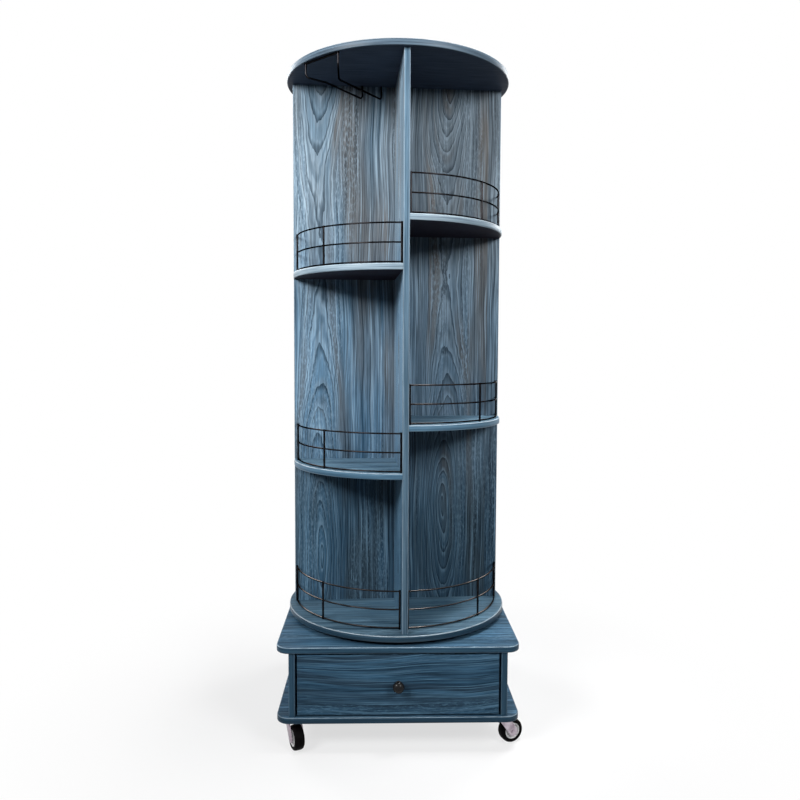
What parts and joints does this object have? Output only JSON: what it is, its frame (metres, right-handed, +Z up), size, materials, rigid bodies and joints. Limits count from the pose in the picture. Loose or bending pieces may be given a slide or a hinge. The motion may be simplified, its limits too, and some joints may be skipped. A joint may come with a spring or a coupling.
{
  "type": "rotating wine rack",
  "caption": "Tall wine rack tower turning on a square wheeled base with a drawer, quarter-round staggered shelves, wire gallery rails and a stemware rack under the top.",
  "frame": {"origin": "on the floor, on the axis about which the tower turns", "axes": "+Z up along the tower's turning axis, -Y out of the drawer's front, +X to the right of someone facing the drawer"},
  "size_m": [0.49, 0.4875, 1.325],
  "materials": {
    "blue_laminate": "satin blue walnut laminate",
    "black_wire": "gloss black powder coat",
    "zinc_steel": "zinc plated",
    "caster_zinc": "bright zinc plate",
    "bearing_aluminium": "anodised",
    "bearing_steel": "polished",
    "beech": "raw beech",
    "drawer_lining": "matt blue laminate",
    "black_knob": "gloss black",
    "white_hub": "white",
    "black_tyre": "black rubber"
  },
  "bodies": {
    "base": {"base_bottom_board": "blue_laminate", "base_top_board": "blue_laminate", "base_side_left": "blue_laminate", "base_side_right": "blue_laminate", "base_back_panel": "blue_laminate", "base_screws": "zinc_steel", "base_dowels": "beech", "runner_channels": "zinc_steel", "turntable_lower_ring": "bearing_aluminium", "turntable_lower_screws": "zinc_steel", "caster_plates": "caster_zinc", "caster_screws": "zinc_steel"},
    "ball_ring": {"turntable_balls": "bearing_steel"},
    "tower": {"turntable_upper_ring": "bearing_aluminium", "turntable_upper_screws": "zinc_steel", "bottom_disc": "blue_laminate", "top_disc": "blue_laminate", "centre_panel": "blue_laminate", "front_divider": "blue_laminate", "rear_divider": "blue_laminate", "stemware_racks": "black_wire", "tower_screws": "zinc_steel", "tower_dowels": "beech", "shelf_rear_left_lower": "blue_laminate", "shelf_rear_left_upper": "blue_laminate", "shelf_rear_right_lower": "blue_laminate", "shelf_rear_right_upper": "blue_laminate", "shelf_front_left_lower": "blue_laminate", "shelf_front_left_upper": "blue_laminate", "shelf_front_right_lower": "blue_laminate", "shelf_front_right_upper": "blue_laminate", "rails_left_bottom": "black_wire", "rails_left_lower": "black_wire", "rails_left_upper": "black_wire", "rails_right_bottom": "black_wire", "rails_right_lower": "black_wire", "rails_right_upper": "black_wire"},
    "drawer": {"drawer_front": "blue_laminate", "drawer_side_left": "drawer_lining", "drawer_side_right": "drawer_lining", "drawer_back": "drawer_lining", "drawer_bottom": "drawer_lining", "drawer_dowels": "beech", "drawer_knob": "black_knob", "knob_screw": "zinc_steel", "runner_slides": "zinc_steel"},
    "fork_front_left": {"caster_fork_front_left": "caster_zinc"},
    "wheel_front_left": {"wheel_hub_front_left": "white_hub", "wheel_tyre_front_left": "black_tyre"},
    "fork_front_right": {"caster_fork_front_right": "caster_zinc"},
    "wheel_front_right": {"wheel_hub_front_right": "white_hub", "wheel_tyre_front_right": "black_tyre"},
    "fork_rear_left": {"caster_fork_rear_left": "caster_zinc"},
    "wheel_rear_left": {"wheel_hub_rear_left": "white_hub", "wheel_tyre_rear_left": "black_tyre"},
    "fork_rear_right": {"caster_fork_rear_right": "caster_zinc"},
    "wheel_rear_right": {"wheel_hub_rear_right": "white_hub", "wheel_tyre_rear_right": "black_tyre"}
  },
  "joints": [
    {"name": "tower_turn", "type": "hinge", "parent": "base", "child": "tower", "pos_m": [0, 0, 0.206], "axis": [0, 0, 1], "continuous": true},
    {"name": "ball_ring_turn", "type": "hinge", "parent": "base", "child": "ball_ring", "pos_m": [0, 0, 0.21], "axis": [0, 0, 1], "continuous": true},
    {"name": "drawer_slide", "type": "slide", "parent": "base", "child": "drawer", "axis": [0, -1, 0], "range_m": [0, 0.28]},
    {"name": "swivel_front_left", "type": "hinge", "parent": "base", "child": "fork_front_left", "pos_m": [-0.203, -0.196, 0.058], "axis": [0, 0, 1], "continuous": true},
    {"name": "roll_front_left", "type": "hinge", "parent": "fork_front_left", "child": "wheel_front_left", "pos_m": [-0.19484, -0.21349, 0.0235], "axis": [0.9063, 0.4226, 0], "continuous": true},
    {"name": "swivel_front_right", "type": "hinge", "parent": "base", "child": "fork_front_right", "pos_m": [0.203, -0.196, 0.058], "axis": [0, 0, 1], "continuous": true},
    {"name": "roll_front_right", "type": "hinge", "parent": "fork_front_right", "child": "wheel_front_right", "pos_m": [0.22084, -0.18865, 0.0235], "axis": [-0.3811, 0.9245, 0], "continuous": true},
    {"name": "swivel_rear_left", "type": "hinge", "parent": "base", "child": "fork_rear_left", "pos_m": [0.203, 0.196, 0.058], "axis": [0, 0, 1], "continuous": true},
    {"name": "roll_rear_left", "type": "hinge", "parent": "fork_rear_left", "child": "wheel_rear_left", "pos_m": [0.19484, 0.21349, 0.0235], "axis": [-0.9063, -0.4226, 0], "continuous": true},
    {"name": "swivel_rear_right", "type": "hinge", "parent": "base", "child": "fork_rear_right", "pos_m": [-0.203, 0.196, 0.058], "axis": [0, 0, 1], "continuous": true},
    {"name": "roll_rear_right", "type": "hinge", "parent": "fork_rear_right", "child": "wheel_rear_right", "pos_m": [-0.22084, 0.18865, 0.0235], "axis": [0.3811, -0.9245, 0], "continuous": true}
  ],
  "couplings": [
    {"joint": "ball_ring_turn", "follows": "tower_turn", "ratio": 0.5}
  ]
}
